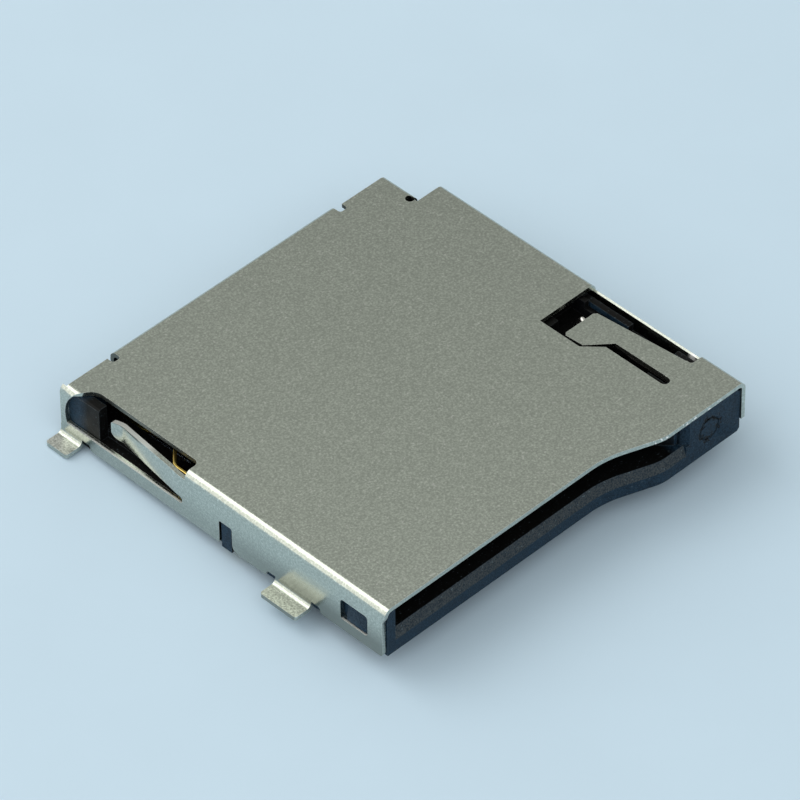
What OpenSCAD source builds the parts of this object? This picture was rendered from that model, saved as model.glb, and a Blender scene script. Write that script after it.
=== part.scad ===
// Push-push memory card connector for a circuit board: a folded sheet shell over a moulded
// housing, with eight spring contacts, a card switch contact, and an ejector made of a
// slider with a heart-shaped cam track, a wire lock pin and a coil spring.
// X runs along the card mouth, +Y points into the slot, Z = 0 is the board.

/* [Shell] */
// Width over the two side walls
shell_w = 14.72; // [14.3:0.02:16]
// Length from the left end of the front edge to the outside of the rear flange
shell_l = 14; // [13.6:0.05:15.5]
// Height of the top face above the board
shell_h = 2.05; // [1.95:0.05:2.4]
// Thickness of the sheet
sheet_t = 0.15; // [0.1:0.01:0.2]
// Outside radius of the folds
fold_r = 0.28; // [0.22:0.01:0.34]
// Gap between the lower edges of the walls and the board
wall_lift = 0.15; // [0.1:0.01:0.2]
// How far the right part of the front edge stands forward
nose_l = 0.68; // [0.5:0.02:1]
// Slope of the curved part of the front edge, in degrees
nose_turn = 20; // [15:1:28]
// Radius where the curve leaves the left part of the front edge
nose_r1 = 3.5; // [2.5:0.1:4]
// Radius where the curve meets the right part of the front edge
nose_r2 = 1.7; // [1:0.1:2.2]
// Width of the cut corner at the back right
step_w = 0.95; // [0.85:0.01:1.3]
// Length of the cut corner at the back right
step_l = 1.8; // [1.5:0.05:2]
// Radius of the relief hole in the cut corner
step_relief_r = 0.15; // [0.1:0.01:0.18]

/* [Rear flange] */
// Distance of the flange from the left wall
flange_x = 2.15; // [1.8:0.05:2.4]
// Width of the flange
flange_w = 9.35; // [8.8:0.05:9.8]
// Height of the lower edge of the flange above the board
flange_z = 0.88; // [0.8:0.02:1.1]
// Width of the bend reliefs beside the flange
flange_relief_w = 0.32; // [0.2:0.02:0.4]
// How far the cut edges beside the flange stay in front of its face
back_cut = 0.22; // [0.1:0.01:0.27]

/* [Solder tabs] */
// How far a tab reaches out of its wall
tab_out = 0.66; // [0.5:0.02:0.9]
// Inside radius of the bend of a tab
tab_bend_r = 0.18; // [0.1:0.01:0.2]
// Width of the front tabs
tab_front_w = 1.52; // [1.2:0.02:2]
// Distance of the front tabs from the front edge
tab_front_y = 3.1; // [2.8:0.05:3.3]
// Width of the rear tabs
tab_rear_w = 0.92; // [0.7:0.02:1.1]
// Width of the reliefs beside the tabs
tab_relief_w = 0.38; // [0.2:0.01:0.45]
// Height of the tops of the reliefs above the board
tab_relief_z = 0.36; // [0.34:0.01:0.42]

/* [Side leaf] */
// Length of the leaf spring cut from the left wall
leaf_l = 3.45; // [3:0.05:3.6]
// Height of the leaf
leaf_h = 0.85; // [0.7:0.05:0.9]
// Distance of the root of the leaf from the front edge
leaf_y = 8.62; // [8.4:0.02:8.8]
// How far the leaf bends inwards
leaf_in = 0.42; // [0.3:0.02:0.46]
// Width of the slit under the leaf
leaf_slit = 0.25; // [0.2:0.01:0.3]
// Reach of the side opening over the top plate
opening_w = 0.62; // [0.5:0.02:0.8]
// Wall left behind the side opening
opening_back = 0.25; // [0.2:0.01:0.35]

/* [Hold-down tongue] */
// Distance of the left edge of the window from the right wall face
window_w = 2.44; // [2.34:0.02:2.6]
// Distance of the front end of the window from the front edge
window_y = 1; // [0.9:0.02:1.1]
// Distance of the back edge of the window from the front edge
window_back = 5.62; // [5.5:0.02:5.8]
// Distance of the tip of the tongue from the front edge
tongue_tip_y = 4.95; // [4.8:0.05:5.1]
// Width of the head of the tongue
tongue_head_w = 1.4; // [1.3:0.02:1.5]
// Width of the arm of the tongue at its root
tongue_root_w = 0.95; // [0.8:0.01:1]
// How far the tip of the tongue is bent down
tongue_drop = 0.34; // [0.25:0.01:0.36]

/* [Card slot] */
// Width of the card
card_w = 11; // [10.9:0.05:11.1]
// Width of the front end of the card, where its contacts are
card_nose_w = 9.7; // [9.5:0.05:9.9]
// Gap on each side of the card
card_gap = 0.05; // [0.03:0.01:0.1]
// Height of the slot
slot_h = 0.98; // [0.9:0.01:1]
// Wall behind the slot
slot_back_t = 0.53; // [0.4:0.01:0.7]
// Height of the front lip at its edge above the board
lip_z = 0.55; // [0.5:0.01:0.7]
// Length of the sloping lead-in behind the lip
lip_l = 0.14; // [0.1:0.01:0.2]

/* [Housing] */
// Thickness of the left guide wall
guide_t = 0.33; // [0.3:0.01:0.4]
// Thickness of the right outer wall
rail_t = 0.22; // [0.18:0.01:0.3]
// Thickness of the floor under the slider
track_floor = 0.5; // [0.4:0.01:0.55]
// How far the housing stays behind the front edge of the shell
front_gap = 0.05; // [0.04:0.01:0.1]
// Height of the step under the front lip
toe_z = 0.1; // [0.05:0.01:0.2]
// Depth of the front block, from its face to the slider
block_l = 2.43; // [2.2:0.01:2.6]
// Diameter of the locating posts
post_d = 0.9; // [0.7:0.05:1.1]
// Height of the locating posts
post_h = 0.6; // [0.4:0.05:0.8]
// Distance of the locating posts from the front edge
post_y = 3.45; // [3:0.05:4]
// Distance between the locating posts
post_span = 11.4; // [10.5:0.1:12]

/* [Contacts] */
// Distance between the contacts
pitch = 1.1; // [1.06:0.01:1.12]
// Thickness of the contact strip
contact_t = 0.12; // [0.1:0.01:0.15]
// Width of a contact at its root
contact_w = 0.5; // [0.4:0.02:0.56]
// Width of a contact at its tip
contact_tip_w = 0.34; // [0.28:0.02:0.4]
// How far a contact stands out of the floor of the slot
contact_rise = 0.22; // [0.15:0.01:0.3]
// Length of the contact arm
contact_arm = 2.6; // [2.3:0.05:2.9]
// How far the tails reach out behind the shell
tail_out = 0.55; // [0.4:0.05:0.8]

/* [Ejector] */
// Width of the slider
slider_w = 2.1; // [2.05:0.01:2.14]
// Length of the slider body
slider_l = 4.45; // [4.4:0.05:4.7]
// Travel of the slider
travel = 2.2; // [1.9:0.05:2.3]
// Travel at which the lock pin holds the slider
lock_travel = 1.7; // [1.5:0.02:1.75]
// Diameter of the wire of the lock pin
pin_d = 0.22; // [0.2:0.01:0.24]
// Distance between the two legs of the lock pin
pin_l = 3.95; // [3.85:0.05:4]
// Sideways swing of the lock pin on the way in
pin_in = 1; // [0.9:0.02:1.02]
// Sideways swing of the lock pin on the way out
pin_out = 0.2; // [0.14:0.01:0.24]
// Depth of the cam track
track_d = 0.44; // [0.35:0.01:0.5]
// Outside diameter of the coil spring
spring_d = 1.15; // [1:0.01:1.2]
// Diameter of the wire of the coil spring
spring_wire = 0.16; // [0.12:0.01:0.18]
// Number of turns of the coil spring
spring_turns = 12; // [9:1:13]

/* [Clearances] */
// Gap between pieces that are seated on each other
seat_gap = 0.02; // [0.01:0.005:0.03]
// Gap on each side of the slider and under it
run_gap = 0.04; // [0.03:0.005:0.06]
// Gap around the wire of the lock pin in its track and its bore
pin_gap = 0.04; // [0.03:0.005:0.05]
// Gap between the right wall of the shell and the housing
side_gap = 0.12; // [0.05:0.01:0.15]

/* [Hidden] */

// Reach of a cut past the faces that it goes through
over = 1;
// Segments of a full circle, and of one round stretch in an outline
round_n = 48;
arc_n = 8;

// Levels above the board
roof_z = shell_h - sheet_t;
floor_z = roof_z - slot_h;
housing_top = roof_z - seat_gap;
fold_z = shell_h - fold_r;

// Places along X, from the outside of the left wall
housing_x0 = sheet_t + seat_gap;
housing_x1 = shell_w - sheet_t - side_gap;
slot_x0 = housing_x0 + guide_t;
slot_x1 = slot_x0 + card_w + 2 * card_gap;
track_x1 = housing_x1 - rail_t;
slider_x1 = track_x1 - run_gap;
slider_x0 = slider_x1 - slider_w;
track_x0 = slider_x0 - run_gap;
rear_w = shell_w - step_w;
rear_x1 = rear_w - sheet_t - side_gap;

// Places along Y, from the left end of the front edge
step_y = shell_l - step_l;
rear_gap = 0.08;
housing_back = shell_l - sheet_t - rear_gap;
slot_back = housing_back - slot_back_t;
block_y0 = front_gap - nose_l;
block_y1 = block_y0 + block_l;
slider_y0 = block_y1 + run_gap;
slider_y1 = slider_y0 + slider_l;
track_wall_t = 0.3;
toe_l = 0.9;
side_bevel = 0.2;
mouth_x1 = slot_x1 + 0.53;
mouth_depth = 0.34;
mouth_bevel = 0.22;
lead_x1 = mouth_x1 + mouth_bevel - lip_l - 0.02;
lead_over = 0.03;
block_out_y1 = 0.6;
track_back = step_y - track_wall_t;

// Curved front edge: two arcs of nose_turn degrees joined by their tangent. It ends just
// short of the right side of the card slot. An inset of d moves it into the part.
nose_end = slot_x1 - 0.12;
nose_drop = (nose_r1 + nose_r2) * (1 - cos(nose_turn));
nose_run = (nose_r1 + nose_r2) * sin(nose_turn) + (nose_l - nose_drop) / tan(nose_turn);
nose_start = nose_end - nose_run;

function front_edge(d) = concat(
    [for (i = [0:arc_n]) let (a = nose_turn * i / arc_n)
        [nose_start + (nose_r1 + d) * sin(a), (nose_r1 + d) * cos(a) - nose_r1]],
    [for (i = [arc_n:-1:0]) let (a = nose_turn * i / arc_n)
        [nose_end - (nose_r2 - d) * sin(a), nose_r2 - nose_l - (nose_r2 - d) * cos(a)]]);

// How far the ends of the side walls stay in front of the face of the flange, and the left
// wall behind the front edge of the plate
wall_back = 0.05;
wall_front = 0.1;

// Solder tabs
tab_bend_z = sheet_t + tab_bend_r;
tab_rear_left_y = shell_l - tab_rear_w - 0.03;
tab_rear_right_y = step_y - tab_rear_w - tab_relief_w + 0.08;

// Side leaf, its slit and the opening round it
leaf_top = fold_z - 0.01;
leaf_bottom = leaf_top - leaf_h;
slit_z = leaf_bottom - leaf_slit;
leaf_tip_l = 0.4;
leaf_tip_r = 0.32;
leaf_tip_z = leaf_top - 0.2;
leaf_kick = 0.09;
opening_y0 = leaf_y - 0.15;
opening_y1 = shell_l - opening_back;
opening_r = 1.2;
opening_corner_r = 0.2;
opening_end = [[-2, 0.24], [0, 0.24], [0.03, 0.3], [0.13, 0.38], [0.29, 0.49], [0.45, 0.58]];

// Snap windows in both walls and their latches on the housing
snap_y = 0.72;
snap_w = 1.13;
snap_z = 0.56;
snap_h = 0.79;
snap_latch_w = 0.86;
snap_gap = 0.04;

// Keyway in the left wall and its key on the housing
key_y = 6.47;
key_w = 0.55;
key_z = 1.05;
key_gap = 0.06;

// Hold-down tongue in the plan of the flat sheet
window_x = shell_w - window_w;
tongue_x1 = shell_w - 0.71;
tongue_x0 = tongue_x1 - tongue_head_w;
tongue_root_x1 = shell_w - 0.61;
tongue_root_x0 = tongue_root_x1 - tongue_root_w;
tongue_neck_x = tongue_root_x0 + 0.16;
shoulder_y = tongue_tip_y - 0.83;
neck_y = shoulder_y - (tongue_neck_x - tongue_x0);
tongue_slot = 0.33;
tongue_angle = atan(tongue_drop / (tongue_tip_y - window_y));

// Lock pin: its pivot, and where its tip is for a swing and a travel
pivot_y = block_y1 - 0.5;
pivot_x = slider_x1 - 0.57;
pin_swing = asin(pin_in / pin_l);
pin_z = roof_z - tongue_drop - run_gap - pin_d / 2;
track_top = pin_z - pin_gap - pin_d / 2;
pin_bend_r = 0.2;
leg_end_gap = 0.05;
lane_w = pin_d + 2 * pin_gap;

function tip(swing, s) = [pivot_x - pin_l * sin(swing), pivot_y + pin_l * cos(swing) - s];

// Marks of the cam track, in the rest place of the slider
cam_rest = tip(0, 0);
cam_left = tip(pin_swing, travel);
cam_right = tip(-asin(pin_out / pin_l), travel);
cam_lock = tip(asin((pin_in - pin_out) * 0.39 / pin_l), lock_travel);

// Levels of the slider
slider_z = track_floor + run_gap;
slider_top = roof_z - 0.08;
slider_rail_z = roof_z - tongue_drop;
slider_rim = 0.17;

// Card stop of the slider
stop_y = slider_y0 + 2.6;
stop_l = 1.2;
stop_x = slot_x0 + card_gap + card_nose_w + 0.25;
stop_cut = 0.5;

// Coil spring and its two pegs
spring_x = track_x1 - run_gap - 0.04 - spring_d / 2;
spring_z = track_floor + 0.06 + spring_d / 2;
spring_y0 = slider_y1 + seat_gap;
spring_y1 = track_back - seat_gap;
peg_d = 0.5;
peg_l = 0.8;
arm_l = 2.1;
arm_w = spring_x - spring_d / 2 - 0.12 - slider_x0;

// Contacts: centred on the narrow front end of the card
seat_z = 0.5;
contact_mid = slot_x0 + card_gap + card_nose_w / 2;
contact_root = slot_back - 0.45;
crest_y = contact_root - contact_arm;
crest_z = floor_z + contact_rise - contact_t / 2;
window_side = 0.1;
contact_n = 8;

function contact_x(i) = contact_mid + (i - (contact_n + 1) / 2) * pitch;

// Card switch contact
detect_x = housing_x0 + 0.19;
detect_t = 0.1;
detect_y = key_y - 0.07;
detect_foot_w = 0.5;
detect_bend_y = leaf_y + 0.68;
detect_reach = 0.5;
detect_z0 = floor_z + 0.08;
detect_z1 = roof_z - 0.3;
detect_pad_l = 0.75;

// Normal of the path p at its point i, long enough to mitre a strip of half width 1
function unit(v) = v / norm(v);
function ahead(p, i) = unit(p[min(i + 1, len(p) - 1)] - p[min(i, len(p) - 2)]);
function behind(p, i) = i == 0 ? ahead(p, 0) : unit(p[i] - p[i - 1]);
function left_of(v) = [-v[1], v[0]];
function mitre(p, i) =
    let (n = left_of(unit(ahead(p, i) + behind(p, i))))
    n / (n * left_of(behind(p, i)));

// Outline of a strip of width w along the path p
function strip(p, w) = concat(
    [for (i = [0:len(p) - 1]) p[i] + mitre(p, i) * w / 2],
    [for (i = [len(p) - 1:-1:0]) p[i] - mitre(p, i) * w / 2]);

// Path p with each inner corner rounded over a length r on both sides
function rounded(p, r) = concat([p[0]],
    [for (i = [1:len(p) - 2])
        let (a = p[i] - behind(p, i) * r, b = p[i] + ahead(p, i) * r)
        for (k = [0:4]) let (t = k / 4)
            a * (1 - t) * (1 - t) + p[i] * 2 * t * (1 - t) + b * t * t],
    [p[len(p) - 1]]);

// Quarter of a circle of radius r about c, anticlockwise from the angle a
function quarter(c, r, a) = [for (k = [0:arc_n]) let (b = a + 90 * k / arc_n)
    c + r * [cos(b), sin(b)]];

// Moves the children from the front left corner of the shell to the middle of its plate
module to_origin() {
    translate([-shell_w / 2, -shell_l / 2, 0]) children();
}

// Box from its low corner a to its high corner b
module block(a, b) {
    translate(a) cube(b - a);
}

// Rectangle from a to b with corners of radius r
module round_rect(a, b, r) {
    translate([a[0] + r, a[1]]) square([b[0] - a[0] - 2 * r, b[1] - a[1]]);
    translate([a[0], a[1] + r]) square([b[0] - a[0], b[1] - a[1] - 2 * r]);
    for (x = [a[0] + r, b[0] - r], y = [a[1] + r, b[1] - r])
        translate([x, y]) circle(r, $fn = round_n);
}

// Extrusion along X of a shape drawn in Y and Z, from x0 to x1
module along_x(x0, x1) {
    translate([x0, 0, 0]) rotate([90, 0, 90]) linear_extrude(x1 - x0) children();
}

// Extrusion along Y of a shape drawn in X and Z, from y0 to y1
module along_y(y0, y1) {
    translate([0, y1, 0]) rotate([90, 0, 0]) linear_extrude(y1 - y0) children();
}

// Extrusion along Z of a shape drawn in X and Y, from z0 to z1
module along_z(z0, z1) {
    translate([0, 0, z0]) linear_extrude(z1 - z0) children();
}

// Section from x0 to x1 and z0 to z1 with its two top corners rounded
module arch(x0, x1, z0, z1, r) {
    translate([x0, z0]) square([x1 - x0, z1 - z0 - r]);
    translate([x0 + r, z0]) square([x1 - x0 - 2 * r, z1 - z0]);
    for (x = [x0 + r, x1 - r])
        translate([x, z1 - r]) circle(r, $fn = round_n);
}

// Folded sheet of width w from y0 to y1: the plate and its two walls
module folded_sheet(w, y0, y1) {
    along_y(y0, y1) difference() {
        arch(0, w, wall_lift, shell_h, fold_r);
        arch(sheet_t, w - sheet_t, wall_lift - over, roof_z, fold_r - sheet_t);
    }
}

// Plan of everything behind the front edge, moved in by d
module behind_front(d) {
    polygon(concat([[-over, d]], front_edge(d),
        [[shell_w + over, d - nose_l], [shell_w + over, shell_l + over],
        [-over, shell_l + over]]));
}

// One solder tab of the left wall, from y0 over the width w
module solder_tab(y0, w) {
    intersection() {
        along_y(y0, y0 + w) union() {
            translate([0, tab_bend_z]) square([sheet_t, tab_relief_z + sheet_t - tab_bend_z]);
            translate([-tab_out, 0]) square([tab_out - tab_bend_r, sheet_t]);
            intersection() {
                translate([-tab_bend_r, tab_bend_z]) difference() {
                    circle(tab_bend_r + sheet_t, $fn = round_n);
                    circle(tab_bend_r, $fn = round_n);
                }
                translate([-tab_bend_r, 0]) square(tab_bend_z);
            }
        }
        along_z(-over, over)
            round_rect([-tab_out, y0], [sheet_t + 2 * tab_bend_r, y0 + w], 0.1);
    }
}

// Room for a solder tab and its two reliefs, at the lower edge of the left wall
module tab_room(y0, w) {
    along_x(-over, 2 * sheet_t)
        round_rect([y0 - tab_relief_w, -over], [y0 + w + tab_relief_w, tab_relief_z], 0.12);
    corner_cut(y0 - tab_relief_w, -1, 0.1);
    corner_cut(y0 + w + tab_relief_w, 1, 0.1);
}

// Cut that rounds the lower corner of a wall at y, when the wall lies on the side dir of it
module corner_cut(y, dir, r) {
    along_x(-over, 2 * sheet_t) translate([y, wall_lift]) difference() {
        translate([min(0, dir * r), -sheet_t]) square([r, r + sheet_t]);
        translate([dir * r, r]) circle(r, $fn = round_n);
    }
}

// The right wall is the left wall's mirror image in these pieces
module to_right() {
    translate([shell_w, 0, 0]) mirror([1, 0, 0]) children();
}

// Side opening that wraps from the left wall over the fold into the plate
module side_opening() {
    along_z(leaf_top, shell_h + over) {
        round_rect([-over, opening_y0], [opening_w, opening_y1 - 1.1], opening_corner_r);
        polygon(concat([for (p = opening_end) [opening_w * p[0], opening_y1 - p[1]]],
            [[opening_w * 0.45, opening_y0 + over], [-over, opening_y0 + over]]));
        translate([opening_w - 0.57, opening_y1 - 1.1]) circle(0.57, $fn = round_n);
    }
    along_x(-over, 2 * sheet_t) {
        translate([leaf_y + 0.12, slit_z]) square([opening_y1 - opening_r - leaf_y, leaf_top - slit_z]);
        round_rect([leaf_y, slit_z], [leaf_y + over, leaf_bottom], 0.1);
        intersection() {
            translate([opening_y1 - opening_r, slit_z + 0.39]) circle(opening_r, $fn = round_n);
            translate([opening_y1 - opening_r, slit_z]) square([opening_r, leaf_top + sheet_t - slit_z]);
        }
    }
}

// Leaf spring of the left wall: it leans into the slot and its tip turns out again
module side_leaf() {
    mid = sheet_t / 2;
    path = [[mid, leaf_y - 0.4], [mid, leaf_y + 0.15],
        [mid + leaf_in, leaf_y + leaf_l - leaf_tip_l], [mid + leaf_in - leaf_kick, leaf_y + leaf_l]];
    y1 = leaf_y + leaf_l;
    intersection() {
        along_z(leaf_bottom, leaf_top) polygon(strip(rounded(path, 0.12), sheet_t));
        along_x(-over, over) polygon(concat([[leaf_y - over, leaf_bottom]],
            quarter([y1 - leaf_tip_r, leaf_bottom + leaf_tip_r], leaf_tip_r, -90),
            quarter([y1 - 0.1, leaf_tip_z - 0.1], 0.1, 0),
            [[leaf_y + 0.6, leaf_top], [leaf_y - over, leaf_top]]));
    }
}

// Window round the hold-down tongue, cut through the plate and the right fold
module tongue_window() {
    slot_x = tongue_neck_x - 0.16 - tongue_slot;
    along_z(fold_z - 0.01, shell_h + over) {
        polygon([[window_x, window_back], [window_x, shoulder_y - 0.04],
            [slot_x, neck_y + 0.08], [slot_x, window_y + 0.2], [shell_w - 0.3, window_y + 0.2],
            [shell_w - 0.3, window_back]]);
        round_rect([slot_x, window_y - 0.1], [slot_x + tongue_slot, neck_y], 0.16);
        round_rect([tongue_root_x1, window_y], [shell_w + over, window_back], 0.1);
    }
}

// Tongue bent down from the front end of its window
module tongue() {
    translate([0, window_y, roof_z]) rotate([-tongue_angle, 0, 0]) translate([0, -window_y, 0])
        linear_extrude(sheet_t) {
            polygon([[tongue_root_x0, window_y - 0.1], [tongue_root_x1, window_y - 0.1],
                [tongue_x1, tongue_tip_y - 0.1], [tongue_x1 - 0.1, tongue_tip_y],
                [tongue_x0 + 0.1, tongue_tip_y], [tongue_x0, tongue_tip_y - 0.1],
                [tongue_x0, shoulder_y], [tongue_neck_x, neck_y]]);
        }
}

// Flange folded down from the back edge of the plate
module rear_flange() {
    y = shell_l - fold_r;
    along_x(flange_x, flange_x + flange_w) {
        translate([shell_l - sheet_t, flange_z]) square([sheet_t, fold_z - flange_z]);
        intersection() {
            translate([y, fold_z]) difference() {
                circle(fold_r, $fn = round_n);
                circle(fold_r - sheet_t, $fn = round_n);
            }
            translate([y, fold_z]) square(fold_r);
        }
        translate([y - fold_r, roof_z]) square([fold_r, sheet_t]);
    }
}

module shell() {
    color([0.62, 0.63, 0.6]) to_origin() {
        difference() {
            intersection() {
                union() {
                    folded_sheet(shell_w, -nose_l, step_y);
                    folded_sheet(rear_w, step_y, shell_l);
                }
                along_z(-over, shell_h + over) difference() {
                    behind_front(0);
                    translate([-over, shell_l - wall_back]) square([shell_w, 2 * over]);
                }
            }
            // Cut edges beside the flange
            block([sheet_t, shell_l - back_cut, fold_z], [rear_w - sheet_t, shell_l + over, shell_h + over]);
            side_opening();
            tongue_window();
            // Room for the flange and its reliefs
            block([flange_x - flange_relief_w, shell_l - fold_r, fold_z],
                [flange_x + flange_w + flange_relief_w, shell_l + over, shell_h + over]);
            for (x = [flange_x - flange_relief_w, flange_x + flange_w])
                along_z(fold_z, shell_h + over)
                    round_rect([x, shell_l - fold_r - 0.2], [x + flange_relief_w, shell_l + over], 0.1);
            // Relief hole where the folds of the cut corner meet
            translate([rear_w - 0.29, step_y + 0.25, fold_z - 0.05])
                cylinder(over, r = step_relief_r, $fn = round_n);
            block([rear_w - 0.22, step_y, fold_z - 0.05], [rear_w + over, step_y + 0.2, shell_h + over]);
            // The right wall ends with the cut edges
            block([rear_w - 2 * sheet_t, shell_l - back_cut, -over],
                [rear_w + over, shell_l + over, shell_h + over]);
            // Snap windows
            for (side = [0, 1]) translate([side * shell_w, 0, 0]) mirror([side, 0, 0])
                along_x(-over, 2 * sheet_t)
                    round_rect([snap_y, snap_z], [snap_y + snap_w, snap_z + snap_h], 0.12);
            // Keyway in the left wall
            along_x(-over, 2 * sheet_t)
                round_rect([key_y, -over], [key_y + key_w, key_z], 0.08);
            corner_cut(key_y, -1, 0.25);
            corner_cut(key_y + key_w, 1, 0.06);
            // The left wall starts a little behind the plate
            along_x(-over, 2 * sheet_t)
                polygon([[-over, -over], [wall_front, -over], [wall_front, fold_z - 0.25], [0, fold_z],
                    [-over, fold_z]]);
            corner_cut(wall_front, 1, 0.12);
            // The right wall is shorter at its front end
            block([shell_w - 2 * sheet_t, -nose_l - over, -over], [shell_w + over, 0.35, snap_z]);
            // Solder tabs
            tab_room(tab_front_y, tab_front_w);
            tab_room(tab_rear_left_y, tab_rear_w);
            to_right() tab_room(tab_front_y, tab_front_w);
            to_right() tab_room(tab_rear_right_y, tab_rear_w);
        }
        solder_tab(tab_front_y, tab_front_w);
        solder_tab(tab_rear_left_y, tab_rear_w);
        to_right() solder_tab(tab_front_y, tab_front_w);
        to_right() solder_tab(tab_rear_right_y, tab_rear_w);
        side_leaf();
        tongue();
        rear_flange();
    }
}

// What lies in front of the lip. On the right it runs on to the bevel of the front block.
module mouth() {
    polygon(concat([[lead_x1, front_gap - nose_l], [lead_x1, -nose_l - over],
        [slot_x0, -nose_l - over], [slot_x0, front_gap]], front_edge(front_gap)));
}

// Cut that slopes the floor of the slot down to the lip: the mouth, moved back as it rises
module lead_in() {
    slope = lip_l / (floor_z - lip_z);
    multmatrix([[1, 0, 0, 0], [0, 1, slope, -slope * lip_z], [0, 0, 1, 0], [0, 0, 0, 1]])
        along_z(lip_z - lead_over, floor_z + lead_over) mouth();
}

// Latch on the left face of the housing that snaps into the wall of the shell
module latch(depth) {
    face = housing_x0 - depth;
    z0 = snap_z + snap_gap;
    z1 = snap_z + snap_h - snap_gap;
    along_y(snap_y + snap_gap, snap_y + snap_gap + snap_latch_w)
        polygon([[housing_x0 + 0.05, z0], [face, z0], [face, z0 + 0.15], [housing_x0, z1],
            [housing_x0 + 0.05, z1]]);
}

// Locating post under the housing, with a chamfered end
module post(x) {
    chamfer = 0.1;
    translate([x, post_y, -post_h + chamfer])
        cylinder(post_h - chamfer + floor_z / 2, d = post_d, $fn = round_n);
    translate([x, post_y, -post_h])
        cylinder(chamfer, d1 = post_d - 2 * chamfer, d2 = post_d, $fn = round_n);
}

// Outer form of the housing
module housing_body() {
    difference() {
        intersection() {
            along_y(-nose_l, housing_back)
                arch(housing_x0, housing_x1, 0, housing_top, fold_r - sheet_t - seat_gap);
            along_z(-over, housing_top + over) difference() {
                behind_front(front_gap);
                translate([rear_x1, step_y - seat_gap]) square([shell_w, step_l + 2 * over]);
            }
        }
        lead_in();
    }
    latch(sheet_t - 0.02);
    translate([housing_x0 + housing_x1, 0, 0]) mirror([1, 0, 0]) latch(side_gap + sheet_t - 0.04);
    block([sheet_t - 0.11, key_y + key_gap, 0],
        [housing_x0 + 0.05, key_y + key_w - key_gap, key_z - key_gap]);
    for (side = [-1, 1]) post((shell_w + side * post_span) / 2);
}

// Cavities of the slider and its spring, and the bore of the lock pin
module ejector_room() {
    block([track_x0, block_y1, track_floor], [track_x1, track_back, shell_h]);
    // Way of the card stop, through the wall between the slot and the slider
    block([slot_x1 - over, stop_y - 0.1, floor_z],
        [track_x0 + over, stop_y + stop_l + travel + 0.1, shell_h]);
    // Low part of the right wall beside the tongue
    block([track_x1 - over, block_y1, slider_rail_z - 0.11], [shell_w, block_y1 + 1.95, shell_h]);
    block([track_x1 - over, block_y1 + 1.9, fold_z - 0.05], [shell_w, window_back + 0.1, shell_h]);
    // Seat of the lock pin in the front block, under the root of the tongue
    block([tongue_root_x0 - 0.1, pivot_y - pin_d / 2 - 0.12, track_top],
        [tongue_root_x1 + 0.1, block_y1 + over, shell_h]);
    translate([pivot_x, pivot_y, track_top - track_d - leg_end_gap])
        cylinder(over, d = pin_d + 2 * pin_gap, $fn = round_n);
}

// Window and slot for the contact i
module contact_room(i) {
    x = contact_x(i);
    side = contact_w / 2 + window_side;
    block([x - side, crest_y - 0.65, -over], [x + side, contact_root + 0.15, shell_h]);
    block([x - contact_w / 2 - seat_gap, contact_root, seat_z - contact_t / 2 - seat_gap],
        [x + contact_w / 2 + seat_gap, shell_l, seat_z + contact_t / 2 + seat_gap]);
}

// Room for the card switch contact in the left guide wall and the floor
module detect_room() {
    side = detect_t / 2 + seat_gap;
    block([detect_x - side, detect_y - seat_gap, detect_z0 - seat_gap],
        [slot_x0 + over, leaf_y, shell_h]);
    block([detect_x - side, detect_y - seat_gap, -over],
        [detect_x + side, detect_y + detect_foot_w + seat_gap, shell_h]);
    block([detect_x, detect_y - seat_gap, -over],
        [detect_x + detect_pad_l + 2 * seat_gap, detect_y + detect_foot_w + seat_gap, 0.2]);
}

module housing() {
    color([0.13, 0.16, 0.2]) to_origin() difference() {
        housing_body();
        // Card slot
        block([slot_x0, -nose_l - over, floor_z], [slot_x1, slot_back, shell_h]);
        // The mouth is wider than the slot on the right, with a bevel on the front block
        block([slot_x1 - over, -nose_l - over, floor_z],
            [mouth_x1, block_y0 + mouth_depth, shell_h]);
        along_z(floor_z, shell_h)
            polygon([[mouth_x1 - over, block_y0 - over], [mouth_x1 + mouth_bevel + over, block_y0 - over],
                [mouth_x1 - over, block_y0 + mouth_bevel + over]]);
        // The guide wall is open beside the leaf, and the floor gives way under its tip
        block([-over, leaf_y - 0.2, slit_z - 0.06], [slot_x0 + 0.01, opening_y1 - 1.35, shell_h]);
        block([slot_x0 - 0.1, leaf_y + leaf_l / 2, leaf_bottom - 0.05],
            [sheet_t + leaf_in + 0.06, opening_y1 - 1.35, shell_h]);
        ejector_room();
        for (i = [1:contact_n]) contact_room(i);
        detect_room();
        // Bevel along the back edge, under the fold of the flange
        along_x(-over, shell_w + over) {
            d = fold_r - sheet_t;
            polygon([[housing_back - d, housing_top], [housing_back + over, housing_top - d - over],
                [housing_back + over, housing_top + over], [housing_back - d, housing_top + over]]);
        }
        // Step under the front lip, and a bevel along the right side
        block([-over, -nose_l - over, -over], [shell_w + over, toe_l, toe_z]);
        along_y(-nose_l, shell_l)
            polygon([[housing_x1 - side_bevel, 0], [housing_x1 + over, side_bevel + over],
                [housing_x1 + over, -over], [housing_x1 - side_bevel, -over]]);
        // Mark of the ejector pin of the mould, on the front face
        translate([slot_x1 + 1.6, block_y0, housing_top * 0.56]) rotate([90, 0, 0])
            difference() {
                cylinder(0.06, r = 0.43, center = true, $fn = round_n);
                cylinder(over, r = 0.36, center = true, $fn = round_n);
            }
    }
    color([0.13, 0.16, 0.2]) to_origin() {
        // The front block reaches out to the right wall of the shell
        x1 = shell_w - sheet_t - seat_gap;
        x0 = housing_x1 - side_bevel;
        z1 = fold_z - 0.05;
        along_y(block_y0, block_out_y1)
            polygon([[x0, toe_z], [x1 - side_bevel + toe_z, toe_z], [x1, side_bevel], [x1, z1], [x0, z1]]);
        // Peg of the coil spring
        translate([spring_x, track_back + 0.05, spring_z]) rotate([90, 0, 0])
            cylinder(peg_l + 0.05, d = peg_d, $fn = round_n);
    }
}

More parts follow.
